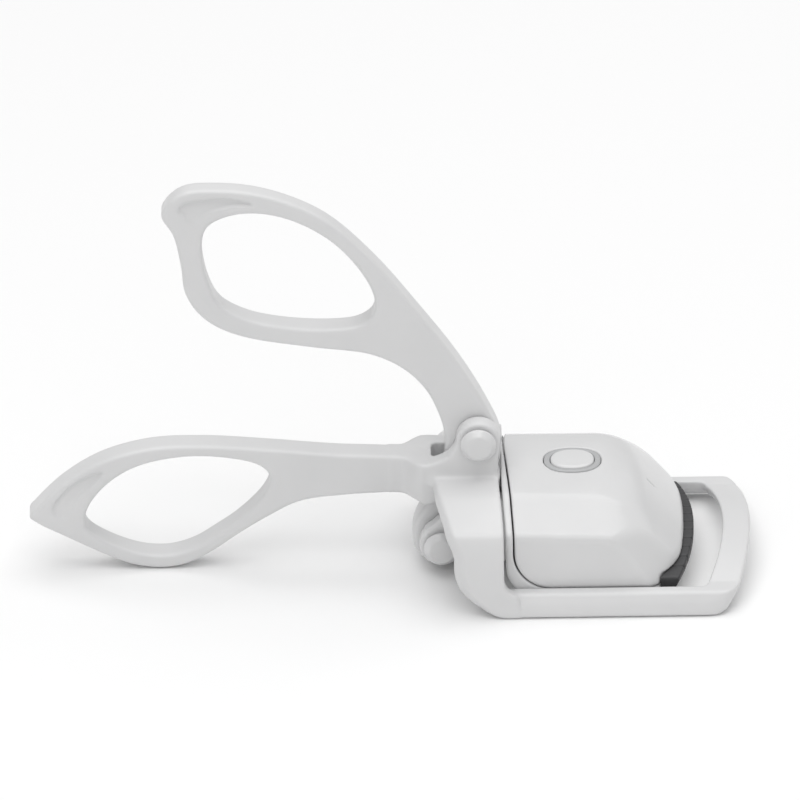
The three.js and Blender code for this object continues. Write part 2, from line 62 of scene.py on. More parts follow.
def span(node):
    """A CAD node's box in millimetres, in the pivot's frame: two numpy corners."""
    low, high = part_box(node)
    return np.array(low - PIVOT_SHIFT) / MM, np.array(high - PIVOT_SHIFT) / MM


def middle(node):
    low, high = span(node)
    return (low + high) / 2


LINK = (middle("link_shaft")[0], middle("link_shaft")[2])
HANDLE_HALF = span("upper_handle")[1][1]
CAP_FACE = span("pivot_cap_left")[0][1]  # where a pin cap starts, from the mid plane
NECK_HALF = span("pivot_shaft")[1][1]
COLLAR_HALF = span("frame")[1][1]
ARCH_OUTER = span("frame")[1][0]
BUTTON_X = middle("power_button")[0]
PAD_FRONT = span("heating_pad")[1][0]

# ---- Shape constants, in millimetres -----------------------------------------------------
GAP = 0.3  # clearance at the seam, the slot and the ports
BOW = 0.0095  # plan bow of the pad and of the arch's inner edge, per mm
OUTER_BOW = 0.0068  # plan bow of the arch's outer edge
SAG = 0.009  # fall of the arch towards its ends, per mm
# Handles and pins
EDGE_R = 0.75
SCOOP_DEPTH = 0.85
LOOP_THINNING = 0.6  # how much each face of the upper loop draws in towards its tip
BOSS_R = 4.0
LEFT_BOSS_R = 2.75
PIVOT_HOLE_R = 1.8
LINK_HOLE_R = 1.5
SLOT_HALF = HANDLE_HALF + GAP
SLOT_REAR = -8.9
MOULD_MARK = (-10.8, 1.25)  # ring left on the neck by an ejector pin: X and radius
# Collar, arms and arch
COLLAR_TOP = 20.4
COLLAR_WALL = 2.2
COLLAR_FRONT = (3.5, 4.3)  # X of its front edge at the crown and at the sides
COLLAR_CREASE = (11.1, 19.7)  # Y and Z where the crown meets the bevel
COLLAR_BEVEL = (0.344, 0.939)  # the bevel's outward direction in Y and Z
COLLAR_SIDE = (14.8, 8.8)  # radius of the curved side, and Z where it becomes upright
ARM_INNER = 18.6
ARM_TOP = 4.4
ARM_CREST = 20.8  # |Y| where the arm's outer bevel starts
ARCH_INNER = ARCH_OUTER - 5.0
ARCH_TOP = 7.1
GUIDE_Z = 2.1  # mid height of the grooves that guide the head
# Head
HEAD_HALF = 18.3
HEAD_REAR = (3.95, 4.65)  # X of its rear face at the crown and at the sides
HEAD_CROWN = 20.3
HEAD_FLOOR = 1.0
HEAD_WALL = 1.8
REAR_CORNER = 7.6  # radius of its lower rear corner
LIP = (37.0, 7.8)
SEAM_Z = 4.0
SEAM_R = 7.0
NOSE_MARK = ((30.4, 15.6), (31.7, 14.1))  # a short slit down the nose, X and Z
LUG_FLOOR = 2.45
LUG_REAR = -9.7
SCREW_HOLE_R = 1.8
SCREWS = range(1, 5)
# Pad and its pocket
POCKET_REAR = 33.0  # X at the middle plane
POCKET_FLOOR = 1.9
PAD_HALF = 17.3
PAD_TOP = 7.1
PAD_SAG = 0.00558  # fall of the pad's top towards its ends, per mm
PAD_DEPTH = 2.1
WING_DEPTH = 1.3  # how much deeper the pad's two ends are
PAD_FLOOR = 2.2
RIB_PITCH = 2.8
RIB_GROOVE = 0.32
# Button and light ring
OVAL_POWER = 2.3
RING_SEMI = (5.13, 4.29)
RING_LOW, RING_TOP = 18.8, 20.2
BUTTON_SEMI = (3.95, 3.35)
BUTTON_LOW, BUTTON_TOP = 17.8, 20.72
FLANGE_TOP = 18.4
SEGMENTS = 96
CAP_SEGMENTS = 72
# Size of the polygons
FRAME_PITCH = 0.36
HEAD_PITCH = 0.3
PAD_PITCH = 0.16


# ---- Signed distance tools ---------------------------------------------------------------
def smooth_min(a, b, k):
    h = np.maximum(k - np.abs(a - b), 0) / k
    return np.minimum(a, b) - h * h * k / 4


def smooth_max(a, b, k):
    return -smooth_min(-a, -b, k)


def round_max(a, b, radius):
    """Both a and b, with the edge between them rounded to a radius."""
    p, q = a + radius, b + radius
    return np.minimum(np.maximum(p, q), 0) + np.hypot(np.maximum(p, 0), np.maximum(q, 0)) - radius


def step(value, low, high):
    """0 below low and 1 above high, easing in between."""
    t = np.clip((value - low) / (high - low), 0, 1)
    return t * t * (3 - 2 * t)


def closed_spline(points, per_span=14):
    """A closed centripetal Catmull-Rom curve through the points, slightly eased."""
    p = np.array(points, float)
    n = len(p)
    out = []
    for i in range(n):
        a, b, c, d = (p[(i + j) % n] for j in (-1, 0, 1, 2))
        t = np.cumsum([0] + [math.sqrt(math.dist(u, v)) for u, v in ((a, b), (b, c), (c, d))])
        for s in np.linspace(t[1], t[2], per_span, endpoint=False):
            ab = a + (b - a) * (s - t[0]) / (t[1] - t[0])
            bc = b + (c - b) * (s - t[1]) / (t[2] - t[1])
            cd = c + (d - c) * (s - t[2]) / (t[3] - t[2])
            abc = ab + (bc - ab) * (s - t[0]) / (t[2] - t[0])
            bcd = bc + (cd - bc) * (s - t[1]) / (t[3] - t[1])
            out.append(abc + (bcd - abc) * (s - t[1]) / (t[2] - t[1]))
    curve = np.array(out)
    for _ in range(2):
        curve = (np.roll(curve, 1, 0) + 2 * curve + np.roll(curve, -1, 0)) / 4
    return curve


def arc(centre, radius, start, end, steps=16):
    angles = np.radians(np.linspace(start, end, steps + 1))
    return [(centre[0] + radius * math.cos(t), centre[1] + radius * math.sin(t)) for t in angles]


class Outline:
    """Signed distance to a closed outline, sampled once and read back by interpolation."""

    def __init__(self, points, margin=6.0, pitch=0.25):
        p = np.array(points, float)
        self.low = p.min(0) - margin
        self.pitch = pitch
        counts = np.ceil((p.max(0) + margin - self.low) / pitch).astype(int) + 1
        u = self.low[0] + pitch * np.arange(counts[0])[:, None]
        v = self.low[1] + pitch * np.arange(counts[1])[None, :]
        best = np.full(counts, 1e9)
        inside = np.zeros(counts, bool)
        for (au, av), (bu, bv) in zip(p, np.roll(p, -1, 0)):
            eu, ev = bu - au, bv - av
            t = np.clip(((u - au) * eu + (v - av) * ev) / (eu * eu + ev * ev + 1e-12), 0, 1)
            best = np.minimum(best, (u - au - t * eu) ** 2 + (v - av - t * ev) ** 2)
            if ev != 0:
                crosses = (v >= min(av, bv)) & (v < max(av, bv))
                inside ^= crosses & (u < au + (v - av) * eu / ev)
        self.grid = np.where(inside, -np.sqrt(best), np.sqrt(best))

    def __call__(self, u, v):
        s = (u - self.low[0]) / self.pitch
        t = (v - self.low[1]) / self.pitch
        top = np.array(self.grid.shape) - 1.001
        sc, tc = np.clip(s, 0, top[0]), np.clip(t, 0, top[1])
        i, j = sc.astype(int), tc.astype(int)
        fs, ft = sc - i, tc - j
        g = self.grid
        value = (
            g[i, j] * (1 - fs) * (1 - ft) + g[i + 1, j] * fs * (1 - ft)
            + g[i, j + 1] * (1 - fs) * ft + g[i + 1, j + 1] * fs * ft
        )
        return value + np.hypot(s - sc, t - tc) * self.pitch


# ---- Polygoniser: surface nets, then every vertex moved onto the surface -----------------
CORNERS = [(i, j, k) for i in (0, 1) for j in (0, 1) for k in (0, 1)]
EDGES = [(a, b) for a in range(8) for b in range(a + 1, 8)
         if sum(abs(p - q) for p, q in zip(CORNERS[a], CORNERS[b])) == 1]
TETRAHEDRON = np.array([(1, -1, -1), (-1, -1, 1), (-1, 1, -1), (1, 1, 1)], float)


def in_chunks(distance, points, size=200_000):
    return np.concatenate([
        distance(*points[i:i + size].T) for i in range(0, len(points), size)
    ])


def sample_field(distance, low, high, pitch, block=6):
    """The field on a grid, worked out only in the blocks that the surface can touch."""
    counts = np.ceil((high - low) / pitch / block).astype(int) * block + 1
    axes = [low[a] + pitch * np.arange(counts[a]) for a in range(3)]
    centres = [low[a] + pitch * block * (np.arange((counts[a] - 1) // block) + 0.5)
               for a in range(3)]
    mesh = np.stack(np.meshgrid(*centres, indexing="ij"), -1)
    coarse = in_chunks(distance, mesh.reshape(-1, 3)).reshape(mesh.shape[:3])
    near = np.abs(coarse) < pitch * block * 1.35 + 0.8
    field = np.ones(counts, np.float32)
    wanted = np.zeros(counts, bool)
    for a, b, c in np.argwhere(near | (coarse < 0)):
        cell = tuple(slice(i * block, i * block + block + 1) for i in (a, b, c))
        if near[a, b, c]:
            wanted[cell] = True
        else:
            field[cell] = -1
    nodes = np.argwhere(wanted)
    points = np.stack([axes[a][nodes[:, a]] for a in range(3)], -1)
    field[tuple(nodes.T)] = in_chunks(distance, points)
    return field, axes


def polygonise(distance, low, high, pitch):
    """(vertices, quads) of the surface where the distance is zero."""
    low = np.array(low, float) - 2 * pitch
    high = np.array(high, float) + 2 * pitch
    field, axes = sample_field(distance, low, high, pitch)
    inside = field < 0
    cell_counts = np.array(field.shape) - 1
    total = sum(
        inside[i:i + cell_counts[0], j:j + cell_counts[1], k:k + cell_counts[2]].astype(np.int8)
        for i, j, k in CORNERS
    )
    cells = np.argwhere((total > 0) & (total < 8))
    index = np.full(cell_counts, -1, np.int64)
    index[tuple(cells.T)] = np.arange(len(cells))
    values = np.stack([field[tuple((cells + c).T)] for c in CORNERS], -1)
    sums = np.zeros((len(cells), 3))
    hits = np.zeros(len(cells))
    for a, b in EDGES:
        va, vb = values[:, a], values[:, b]
        crossed = (va < 0) != (vb < 0)
        t = np.where(crossed, va / np.where(crossed, va - vb, 1), 0)[:, None]
        place = np.array(CORNERS[a]) * (1 - t) + np.array(CORNERS[b]) * t
        sums += place * crossed[:, None]
        hits += crossed
    points = low + pitch * (cells + sums / hits[:, None])
    quads = []
    for axis in range(3):
        near = [slice(None)] * 3
        far = [slice(None)] * 3
        near[axis], far[axis] = slice(0, -1), slice(1, None)
        start, end = inside[tuple(near)], inside[tuple(far)]
        edges = np.argwhere(start != end)
        u, v = (axis + 1) % 3, (axis + 2) % 3
        keep = (edges[:, u] > 0) & (edges[:, v] > 0)
        keep &= (edges[:, u] < cell_counts[u]) & (edges[:, v] < cell_counts[v])
        edges = edges[keep]
        leaving = start[tuple(edges.T)]
        ring = []
        for du, dv in ((1, 1), (0, 1), (0, 0), (1, 0)):
            cell = edges.copy()
            cell[:, u] -= du
            cell[:, v] -= dv
            ring.append(index[tuple(cell.T)])
        ring = np.stack(ring, -1)
        ring[~leaving] = ring[~leaving][:, ::-1]
        quads.append(ring)
    reach = 0.02
    for _ in range(3):
        around = [in_chunks(distance, points + reach * d) for d in TETRAHEDRON]
        slope = sum(f[:, None] * d for f, d in zip(around, TETRAHEDRON)) / (4 * reach)
        size = np.maximum((slope ** 2).sum(1), 0.05)
        move = -slope * (np.mean(around, 0) / size)[:, None]
        length = np.maximum(np.sqrt((move ** 2).sum(1)), 1e-9)
        points += move * np.minimum(1, 0.6 * pitch / length)[:, None]
    return points, np.concatenate(quads)


# ---- Making pieces -----------------------------------------------------------------------
def add_piece(name, points, faces, material, body, nodes):
    """A smooth-shaded piece from points in millimetres in the pivot's frame."""
    mesh = bpy.data.meshes.new(name)
    mesh.from_pydata((np.array(points) * MM + np.array(PIVOT_SHIFT)).tolist(), [],
                     [tuple(int(i) for i in f) for f in faces])
    mesh.update()
    mesh.shade_smooth()
    piece = bpy.data.objects.new(name, mesh)
    bpy.context.scene.collection.objects.link(piece)
    mesh.materials.append(material)
    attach(piece, body)
    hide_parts(*nodes)


def moulding(name, distance, low, high, pitch, material, body, nodes):
    points, faces = polygonise(distance, low, high, pitch)
    add_piece(name, points, faces, material, body, nodes)


# ---- Materials ---------------------------------------------------------------------------
def new_material(name, color, roughness, **sockets):
    material = bpy.data.materials.new(name)
    material.use_nodes = True
    shader = material.node_tree.nodes["Principled BSDF"]
    shader.inputs["Base Color"].default_value = (*color, 1)
    shader.inputs["Roughness"].default_value = roughness
    for socket, value in sockets.items():
        shader.inputs[socket.replace("_", " ")].default_value = value
    return material


def noise(material, scale, detail=3.0):
    """A noise texture laid in the piece's own coordinates, with scale in cycles per metre."""
    nodes, links = material.node_tree.nodes, material.node_tree.links
    place = nodes.new("ShaderNodeTexCoord")
    texture = nodes.new("ShaderNodeTexNoise")
    texture.inputs["Scale"].default_value = scale
    texture.inputs["Detail"].default_value = detail
    links.new(place.outputs["Object"], texture.inputs["Vector"])
    return texture


def vary_roughness(material, scale, low, high):
    nodes, links = material.node_tree.nodes, material.node_tree.links
    texture = noise(material, scale)
    spread = nodes.new("ShaderNodeMapRange")
    spread.inputs["From Min"].default_value = 0.3
    spread.inputs["From Max"].default_value = 0.7
    spread.inputs["To Min"].default_value = low
    spread.inputs["To Max"].default_value = high
    links.new(texture.outputs["Fac"], spread.inputs["Value"])
    links.new(spread.outputs["Result"], nodes["Principled BSDF"].inputs["Roughness"])


def vary_color(material, scale, dark, light):
    nodes, links = material.node_tree.nodes, material.node_tree.links
    texture = noise(material, scale)
    ramp = nodes.new("ShaderNodeValToRGB")
    ramp.color_ramp.elements[0].position = 0.35
    ramp.color_ramp.elements[1].position = 0.65
    ramp.color_ramp.elements[0].color = (*dark, 1)
    ramp.color_ramp.elements[1].color = (*light, 1)
    links.new(texture.outputs["Fac"], ramp.inputs["Fac"])
    links.new(ramp.outputs["Color"], nodes["Principled BSDF"].inputs["Base Color"])


def add_bump(material, scale, depth):
    """A fine surface relief of that depth in metres."""
    nodes, links = material.node_tree.nodes, material.node_tree.links
    texture = noise(material, scale, 2.0)
    bump = nodes.new("ShaderNodeBump")
    bump.inputs["Distance"].default_value = depth
    bump.inputs["Strength"].default_value = 1.0
    links.new(texture.outputs["Fac"], bump.inputs["Height"])
    links.new(bump.outputs["Normal"], nodes["Principled BSDF"].inputs["Normal"])


def white_plastic(name, roughness, relief):
    """Moulded white ABS: faint mottling of the gloss, and a very shallow orange peel."""
    material = new_material(name, (0.71, 0.71, 0.713), roughness, IOR=1.5)
    vary_color(material, 90, (0.697, 0.698, 0.701), (0.717, 0.717, 0.72))
    vary_roughness(material, 260, roughness - 0.03, roughness + 0.04)
    add_bump(material, 900, relief)
    return material


SHELL = white_plastic("white_abs_gloss", 0.20, 1e-6)
HANDLE = white_plastic("white_abs_satin", 0.34, 3e-6)


# ---- Frame: lower handle, neck, cheeks, collar, arms and arch ----------------------------
LOWER_LOOP = Outline(closed_spline([
    (-81.1, 10.9), (-79.9, 12.6), (-74.9, 17.8), (-68, 22.3), (-59.3, 24.9), (-50, 25.3),
    (-38, 24.4), (-26, 23.2), (-14.5, 22.5), (-10.5, 21.5), (-10.5, 16), (-14.2, 15.3),
    (-24, 14.7), (-32.3, 13.5), (-38.1, 10.4), (-43.4, 6.9), (-48.6, 3.1), (-53, 0.8),
    (-57.5, 0.1), (-62.5, 0.8), (-67.2, 2.8), (-75.1, 7), (-79.7, 9.6),
]))
LOWER_HOLE = Outline(closed_spline([
    (-71.1, 10.5), (-70.1, 13.6), (-66.5, 18), (-61.4, 21.2), (-53.4, 23), (-45.5, 22.7),
    (-39.5, 21), (-37.6, 18.6), (-38.8, 15), (-43.3, 10), (-47.5, 6.8), (-51.5, 4.2),
    (-56.2, 2.8), (-61.6, 3.3), (-68.2, 6.3), (-70.7, 8.5),
]))
LOWER_SCOOP = Outline(closed_spline([
    (-77, 13.7), (-75.4, 16), (-73.7, 17.8), (-70.6, 19.7), (-68.5, 20.5), (-67.2, 20.2),
    (-69.1, 17.7), (-72.2, 14.6), (-73.9, 11.5), (-75.5, 10), (-77.3, 11.9),
]))


def cheek_outline(boss, shoulder):
    return Outline([
        (-16, 15.7), (-14.2, 15.3), (-11.3, 15.0), (-9.6, 14.3), (-6.5, 15), (-4.5, 18.2),
        (COLLAR_FRONT[0], 18.2), (COLLAR_FRONT[0], 24), *arc(PIVOT, boss, -15, 185, 40),
        *shoulder, (-9, 22.7), (-16, 22.5),
    ])


RIGHT_CHEEK = cheek_outline(BOSS_R, [(-4.3, 26.2), (-4.7, 25.4), (-5.5, 24.4), (-6.9, 23.5)])
LEFT_CHEEK = cheek_outline(LEFT_BOSS_R, [(-3.2, 24.2), (-4.3, 22.9), (-5.8, 22.5)])
REAR_CURVE = Outline([
    (-10.3, 30), (-10.3, COLLAR_TOP), (-9.8, 19.8), (-8.3, 18.4), (-6.6, 15.9), (-5.0, 12.6),
    (-4.75, 11.4), (-4.75, 9.2), (-4.5, 7.4), (-3.8, 5.5), (-2.5, 3.6), (-1.1, 2.3), (0.9, 1.1),
    (2.7, 0.35), (4.5, 0), (70, 0), (70, 30),
])


def handle_bar(side, x, y, z, half, scoop, across):
    """A handle moulding: its side outline with rounded edges, and a thumb scoop in both faces."""
    depth = SCOOP_DEPTH * step(-scoop(x, z), 0.0, 0.9) * (1 - 0.8 * across)
    return round_max(side, np.abs(y) - half + depth, EDGE_R)


def lower_handle(x, y, z):
    side = smooth_max(LOWER_LOOP(x, z), -LOWER_HOLE(x, z), 0.2)
    across = np.clip(((x + 77) * 0.641 - (z - 13.7) * 0.767 + 1) / 4.5, 0, 1)
    return handle_bar(side, x, y, z, HANDLE_HALF, LOWER_SCOOP, across)


def neck(x, y, z):
    """The neck behind the slot and the cheeks beside it."""
    half = HANDLE_HALF + (NECK_HALF - HANDLE_HALF) * step(x, -14.6, -9.9)
    side = np.where(y < 0, RIGHT_CHEEK(x, z), LEFT_CHEEK(x, z))
    block = round_max(side, np.abs(y) - half, 0.55)
    mark_x, mark_r = MOULD_MARK
    mark = np.maximum(np.abs(np.hypot(x - mark_x, y) - mark_r) - 0.13, 22.45 - z)
    return np.maximum(block, -mark)


def crowned(y, z, top, crease_y, crease_z):
    """Height over a crown that falls from its top to (crease_y, crease_z)."""
    return z - (top - (top - crease_z) * (y / crease_y) ** 2)


def collar_section(y, z):
    """The collar's section: crowned top, a bevel, and sides that curve down to upright."""
    ay = np.abs(y)
    crease_y, crease_z = COLLAR_CREASE
    bevel = (ay - crease_y) * COLLAR_BEVEL[0] + (z - crease_z) * COLLAR_BEVEL[1]
    top = smooth_max(crowned(y, z, COLLAR_TOP, *COLLAR_CREASE), bevel, 0.3)
    radius, upright_z = COLLAR_SIDE
    side = np.hypot(ay - (COLLAR_HALF - radius), np.maximum(z - upright_z, 0)) - radius
    return smooth_max(top, side, 0.6)


def collar(x, y, z):
    section = collar_section(y, z)
    crown_x, side_x = COLLAR_FRONT
    front = x - (crown_x + (side_x - crown_x) * step(np.abs(y), 4.0, 21.0))
    front = smooth_min(front, smooth_max(z - ARM_TOP, x - 7.0, 1.5), 3.6)
    shell = smooth_max(section, -(section + COLLAR_WALL), 0.3)
    return smooth_max(shell, front, 0.45)


def half_outline(points):
    """A plan outline in (x, |y|), doubled over the middle plane."""
    return Outline(points + [(x, -y) for x, y in reversed(points) if y > 0])


ARCH_STATIONS = np.linspace(0, 15, 16)
OUTER_PLAN = half_outline(
    [(ARCH_OUTER - OUTER_BOW * y * y, y) for y in ARCH_STATIONS]
    + [(46.95, 17), (46.5, 18.4), (45.95, 19.5), (45.2, 20.5), (44.4, 21.2), (43.4, 21.7),
       (42.3, 22.05), (41, COLLAR_HALF), (-14, COLLAR_HALF)])
WINDOW_PLAN = half_outline(
    [(ARCH_INNER - BOW * y * y, y) for y in [*ARCH_STATIONS, 16.5, 17.5]]
    + [(40.7, 18.1), (40.2, 18.45), (39.4, ARM_INNER), (-14, ARM_INNER)])
UNDERSIDE = ([0, 10, 12.5, 18.4, 20.2, 21.9], [0, 0, 0.03, 0.1, 0.45, 1])  # |y|, share of wall


def arms_and_arch(x, y, z):
    """Both side arms and the arch bar between them, hollowed under the bar."""
    ay = np.abs(y)
    outer, window = OUTER_PLAN(x, ay), WINDOW_PLAN(x, ay)
    crown = ARCH_TOP - SAG * y * y
    top_height = ARM_TOP + np.maximum(crown - ARM_TOP, 0) * step(x, 34.5, 40.5)
    bevel = (ay - ARM_CREST) * 0.88 + (z - ARM_TOP) * 0.474
    crest = smooth_max(z - top_height, bevel, 0.5)
    belly = 2.4 - np.where(window < 2, 0.35, 0.183) * (np.clip(window, 0, 5) - 2) ** 2
    lifted = (1 - np.interp(ay, *UNDERSIDE)) * step(x, 31.5, 37.5)
    under = (top_height - belly) * lifted - z
    bar = smooth_max(smooth_max(outer, crest, 0.6), smooth_max(under, -z, 0.4), 0.5)
    return smooth_max(bar, -window, 0.35)


def cylinder(x, z, centre, radius):
    """A round bar or hole along Y."""
    return np.hypot(x - centre[0], z - centre[1]) - radius


def guide_groove(x, y, z):
    """The grooves in the arms' inner faces, where the head's tongues run."""
    across = np.maximum(np.abs(z - GUIDE_Z) - 0.8, np.abs(y) - 19.8)
    return np.maximum(across, np.maximum(8 - x, x - 36.1))


def frame_distance(x, y, z):
    handle = smooth_min(lower_handle(x, y, z), neck(x, y, z), 0.9)
    ring = smooth_min(arms_and_arch(x, y, z), collar(x, y, z), 0.4)
    rear = REAR_CURVE(x, z)
    chamfer = 1.7 * (1 - step(x, -2.0, 4.5))
    ring = smooth_max(ring, rear, 0.35)
    ring = smooth_max(ring, (collar_section(y, z) + rear + chamfer) * math.sqrt(0.5), 0.35)
    whole = smooth_min(handle, ring, 1.2)
    slot = round_max(SLOT_REAR + 0.4 * step(z, 17, 21) - x, np.abs(y) - SLOT_HALF, 1.2)
    slot = np.maximum(np.maximum(slot, 9.0 - z), x - 8)
    whole = smooth_max(whole, -slot, 0.35)
    whole = np.maximum(whole, -cylinder(x, z, PIVOT, PIVOT_HOLE_R))
    return np.maximum(whole, -guide_groove(x, y, z))


# ---- Upper handle ------------------------------------------------------------------------
UPPER_LOOP = Outline(closed_spline([
    (-56.4, 72.6), (-55.2, 75.3), (-52.2, 77.5), (-46.5, 77.9), (-40, 77.2), (-33, 74.9),
    (-26.3, 71), (-18.5, 63), (-10.2, 51.8), (-3.2, 41.4), (1.6, 32.4), (3.9, 26.4),
    (3.6, 20.5), (0.6, 12.5), (-2.6, 6), (-5, 2.2), (-8.6, 1.1), (-11.3, 3), (-12.1, 6.3),
    (-11.2, 10), (-9, 13.4), (-7.1, 17.5), (-6.1, 23), (-6.2, 27.8), (-7.3, 31.9),
    (-9.4, 36.4), (-13.5, 40.8), (-19.3, 43.8), (-29.6, 45.4), (-41.4, 47.6), (-47, 50),
    (-50.4, 53.1), (-52.4, 57), (-53, 62), (-54.3, 68.5),
]))
UPPER_HOLE = Outline(closed_spline([
    (-49.2, 66.5), (-48.2, 70.2), (-44.4, 72.4), (-39.1, 72.9), (-32.7, 71.2), (-25.7, 66.7),
    (-20.3, 60), (-18.3, 55), (-18.7, 51.9), (-21.2, 49.9), (-25.8, 49.2), (-34.3, 49.7),
    (-41.3, 51.4), (-46, 54.4), (-48.2, 59),
]))
UPPER_SCOOP = Outline(closed_spline([
    (-53.6, 74.5), (-52.3, 75.7), (-48.6, 76.4), (-45, 76.6), (-42, 76.1), (-39.8, 75.3),
    (-40, 74.4), (-43.2, 74.2), (-45.8, 73.7), (-48.4, 72.6), (-50.5, 71), (-52.2, 71.4),
    (-52.6, 72.6), (-53.7, 73.2),
]))


def lever_distance(x, y, z):
    side = smooth_max(UPPER_LOOP(x, z), -UPPER_HOLE(x, z), 0.2)
    half = HANDLE_HALF - LOOP_THINNING * step(z, 42, 76)
    across = np.clip((76.4 - z + 0.06 * (x + 48)) / 5, 0, 1)
    bar = handle_bar(side, x, y, z, half, UPPER_SCOOP, across)
    holes = np.minimum(cylinder(x, z, PIVOT, PIVOT_HOLE_R), cylinder(x, z, LINK, LINK_HOLE_R))
    return np.maximum(bar, -holes)


# ---- Head --------------------------------------------------------------------------------
def head_rear(y, z):
    """X of the head's rear face, which follows the collar's front edge."""
    away = (1 - np.clip(y * y / 330, 0, 1)) * step(z, 8.0, 18.5)
    return HEAD_REAR[1] - (HEAD_REAR[1] - HEAD_REAR[0]) * away


def head_section(x, y, z):
    """The head's section: crowned top, a bevel, and upright sides; the creases fall forwards."""
    run = np.clip(x, 0, 30) - 15
    crease_y, crease_z = 11.6 + 0.042 * run, 19.1 - 0.024 * run
    width, fall = HEAD_HALF - crease_y, crease_z - (14.4 - 0.05 * run)
    ay = np.abs(y)
    bevel = ((ay - crease_y) * fall + (z - crease_z) * width) / np.hypot(width, fall)
    top = smooth_max(crowned(y, z, HEAD_CROWN, crease_y, crease_z), bevel, 0.45)
    return smooth_max(top, ay - HEAD_HALF, 1.0)


def head_body(x, y, z):
    """The whole head's outer form, before it is split into its two shells."""
    section = head_section(x, y, z)
    nose = (x + 0.0085 * y * y - LIP[0]) * 0.763 + (z - LIP[1]) * 0.646
    ay = np.abs(y)
    facet = ((x - 24.4) * 0.62 + (ay - 18.15) + (z - 14.6) * 0.42) / 1.25
    front = x - (LIP[0] - 0.0062 * y * y) - 0.05
    corner = (x - 32.7) * 0.72 + (ay - 17.0) * 0.69
    body = smooth_max(section, nose, 4.5)
    body = smooth_max(body, facet, 0.8)
    body = smooth_max(body, smooth_max(front, corner, 2.5), 0.8)
    rear = head_rear(y, z)
    low = np.hypot(np.minimum(x - (rear + REAR_CORNER), 0),
                   np.minimum(z - (HEAD_FLOOR + REAR_CORNER), 0)) - REAR_CORNER
    body = smooth_max(body, low, 0.5)
    return smooth_max(body, HEAD_FLOOR - z, 0.6)


def seam_x(y, z):
    """X of the joint between the hood and the rim behind it."""
    return smooth_max(5.0 - 0.07 * y, head_rear(y, z) + 0.55, 0.4)


def hood_side(x, y, z):
    """Negative on the hood's side of the seam between the two shells."""
    across, up = seam_x(y, z) + SEAM_R, SEAM_Z + SEAM_R
    return np.hypot(np.minimum(x - across, 0), np.minimum(z - up, 0)) - SEAM_R


def nose_slit(x, y, z):
    (ax, az), (bx, bz) = NOSE_MARK
    ux, uz = bx - ax, bz - az
    t = np.clip(((x - ax) * ux + (z - az) * uz) / (ux * ux + uz * uz), 0, 1)
    along, up, across = x - ax - t * ux, z - az - t * uz, (y - 0.5) * 3.2
    return np.sqrt(along ** 2 + up ** 2 + across ** 2) - 0.4


def pad_wing(y):
    """0 along the pad's middle, 1 in its two deeper ends."""
    return np.clip((np.abs(y) - 13) / 3.6, 0, 1)


def pad_top(y):
    return PAD_TOP - PAD_SAG * y * y


def pad_rear(y):
    return PAD_FRONT - PAD_DEPTH - WING_DEPTH * pad_wing(y)


def heater_pocket(x, y, z):
    """The slot for the heater: deep behind the pad's middle, closely round the pad's ends."""
    room = 0.2
    ends = step(np.abs(y), 12.8, 13.6)
    rear = POCKET_REAR + (pad_rear(y) - room - POCKET_REAR) * ends
    plan = np.maximum(rear - (x + BOW * y * y), np.abs(y) - PAD_HALF - room)
    return np.maximum(plan, np.maximum(POCKET_FLOOR - z, z - pad_top(y) - room))


def ring_hole(x, y, z):
    """The oval hole in the hood for the light ring."""
    a, b = RING_SEMI[0] + 0.12, RING_SEMI[1] + 0.12
    r = np.abs((x - BUTTON_X) / a) ** OVAL_POWER + np.abs(y / b) ** OVAL_POWER
    return np.maximum((r ** (1 / OVAL_POWER) - 1) * b, 15 - z)


def hood_distance(x, y, z):
    body = head_body(x, y, z)
    shell = smooth_max(body, -(body + HEAD_WALL), 0.2)
    shell = smooth_max(shell, hood_side(x, y, z), 0.3)
    shell = smooth_max(shell, -heater_pocket(x, y, z), 0.3)
    shell = smooth_max(shell, -ring_hole(x, y, z), 0.2)
    return np.maximum(shell, -nose_slit(x, y, z))


def lugs(x, y, z):
    """The two plates behind the head, each with an upright slot for the drive pin."""
    link_x, link_z = LINK
    upper = np.maximum((z - x - 18.4) * math.sqrt(0.5), z - 15.2)
    lower = np.maximum((link_x + link_z - x - z) * math.sqrt(0.5), LUG_FLOOR - z)
    web = np.maximum(np.maximum(upper, lower), np.maximum(LUG_REAR - x, x - 7))
    side = np.maximum(smooth_min(cylinder(x, z, LINK, BOSS_R), web, 0.8), LUG_FLOOR - z)
    mid, thick = (NECK_HALF + SLOT_HALF) / 2, NECK_HALF - SLOT_HALF
    plate = round_max(side, np.abs(np.abs(y) - mid) - thick / 2, 0.5)
    run = np.maximum(np.abs(z - link_z + 0.55) - 0.55, 0)
    return np.maximum(plate, -(np.hypot(x - link_x, run) - LINK_HOLE_R))


def usb_port(x, y, z):
    low, high = span("usb_socket")
    centre, half = (low + high) / 2, (high - low) / 2 + GAP
    port = round_max(np.abs(y - centre[1]) - half[1], np.abs(z - centre[2]) - half[2], 1.2)
    return np.maximum(port, np.abs(x - low[0]) - 3)


